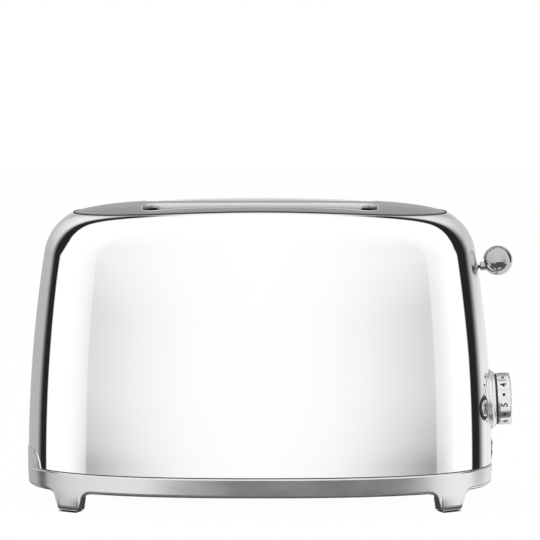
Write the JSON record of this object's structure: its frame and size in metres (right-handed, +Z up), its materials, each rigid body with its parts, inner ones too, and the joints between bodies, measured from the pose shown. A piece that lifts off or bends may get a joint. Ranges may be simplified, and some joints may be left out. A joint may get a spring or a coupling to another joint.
{
  "type": "two-slice toaster",
  "caption": "Two-slice toaster with a polished rounded shell, satin base band on four feet, ball-ended lever, browning dial, three buttons and a crumb tray.",
  "frame": {"origin": "on the table, under the middle of the space the whole toaster takes, lever ball included", "axes": "+Z up, -Y towards the front long side, +X towards the end with the lever and dial"},
  "size_m": [0.325, 0.19, 0.2007],
  "materials": {
    "chrome": "mirror polished",
    "brushed": "brushed along its length",
    "satin": "satin silver, cast",
    "steel": "plain sheet and wire",
    "black": "matt black moulding",
    "rubber": "matt",
    "mica": "mica card",
    "heater": "resistance wire",
    "copper": "enamelled copper winding",
    "board": "circuit board"
  },
  "bodies": {
    "housing": {"outer_shell": "chrome", "top_plate": "brushed", "base_frame": "satin", "foot_pad_rear_right": "rubber", "foot_pad_rear_left": "rubber", "foot_pad_front_left": "rubber", "foot_pad_front_right": "rubber", "bottom_cover": "black", "cover_screw_1": "steel", "cover_screw_2": "steel", "cover_screw_3": "steel", "cover_screw_4": "steel", "lead_inlet_bush": "black", "end_plate_lever_side": "steel", "end_plate_tray_side": "steel", "heat_reflector_front": "brushed", "heat_reflector_rear": "brushed", "heater_card_front_outer": "mica", "heater_wire_front_outer": "heater", "heater_card_front_inner": "mica", "heater_wire_front_inner": "heater", "heater_card_rear_inner": "mica", "heater_wire_rear_inner": "heater", "heater_card_rear_outer": "mica", "heater_wire_rear_outer": "heater", "guide_rod_front": "chrome", "guide_rod_rear": "chrome", "magnet_core": "steel", "magnet_coil": "copper", "mains_contact_block": "black", "return_spring": "steel", "dial_collar": "chrome", "dial_washer": "black", "timer_control": "black", "control_board": "board", "reheat_bezel": "black", "defrost_bezel": "black", "bagel_bezel": "black"},
    "carriage_body": {"carriage": "steel", "bread_rest_front": "steel", "bread_rest_rear": "steel", "lever_arm": "steel", "lever_ball": "chrome", "armature": "steel"},
    "bread_guide_front_outer_body": {"bread_guide_front_outer": "steel"},
    "bread_guide_front_inner_body": {"bread_guide_front_inner": "steel"},
    "bread_guide_rear_inner_body": {"bread_guide_rear_inner": "steel"},
    "bread_guide_rear_outer_body": {"bread_guide_rear_outer": "steel"},
    "dial_body": {"dial": "chrome", "dial_shaft": "steel"},
    "cancel_body": {"cancel_cap": "chrome"},
    "reheat_body": {"reheat_button": "chrome"},
    "defrost_body": {"defrost_button": "chrome"},
    "bagel_body": {"bagel_button": "chrome"},
    "tray_body": {"crumb_tray": "brushed", "crumb_tray_handle": "chrome"}
  },
  "joints": [
    {"name": "carriage_slide", "type": "slide", "parent": "housing", "child": "carriage_body", "axis": [0.1185, 0, -0.993], "range_m": [0, 0.054], "stiffness_N_per_m": 90, "springref_m": -0.05, "deforming": ["return_spring"]},
    {"name": "bread_guide_front_outer_slide", "type": "slide", "parent": "housing", "child": "bread_guide_front_outer_body", "axis": [0, 1, 0], "range_m": [0, 0.006]},
    {"name": "bread_guide_front_inner_slide", "type": "slide", "parent": "housing", "child": "bread_guide_front_inner_body", "axis": [0, -1, 0], "range_m": [0, 0.006]},
    {"name": "bread_guide_rear_inner_slide", "type": "slide", "parent": "housing", "child": "bread_guide_rear_inner_body", "axis": [0, 1, 0], "range_m": [0, 0.006]},
    {"name": "bread_guide_rear_outer_slide", "type": "slide", "parent": "housing", "child": "bread_guide_rear_outer_body", "axis": [0, -1, 0], "range_m": [0, 0.006]},
    {"name": "dial_turn", "type": "hinge", "parent": "housing", "child": "dial_body", "pos_m": [0.14768, 0, 0.0679], "axis": [0.9989, 0, 0.0459], "range_deg": [-138, 92]},
    {"name": "cancel_push", "type": "slide", "parent": "dial_body", "child": "cancel_body", "axis": [-0.9989, 0, -0.0459], "range_m": [0, 0.0018], "stiffness_N_per_m": 1500, "springref_m": -0.001},
    {"name": "reheat_push", "type": "slide", "parent": "housing", "child": "reheat_body", "axis": [-0.9268, 0.3731, -0.0434], "range_m": [0, 0.0015], "stiffness_N_per_m": 1500, "springref_m": -0.001},
    {"name": "defrost_push", "type": "slide", "parent": "housing", "child": "defrost_body", "axis": [-0.9268, -0.3731, -0.0434], "range_m": [0, 0.0015], "stiffness_N_per_m": 1500, "springref_m": -0.001},
    {"name": "bagel_push", "type": "slide", "parent": "housing", "child": "bagel_body", "axis": [-1, 0, -0.0099], "range_m": [0, 0.0015], "stiffness_N_per_m": 1500, "springref_m": -0.001},
    {"name": "tray_slide", "type": "slide", "parent": "housing", "child": "tray_body", "axis": [-1, 0, 0], "range_m": [0, 0.2]}
  ],
  "couplings": [
    {"joint": "bread_guide_front_outer_slide", "follows": "carriage_slide", "ratio": 0.111},
    {"joint": "bread_guide_front_inner_slide", "follows": "carriage_slide", "ratio": 0.111},
    {"joint": "bread_guide_rear_inner_slide", "follows": "carriage_slide", "ratio": 0.111},
    {"joint": "bread_guide_rear_outer_slide", "follows": "carriage_slide", "ratio": 0.111}
  ]
}
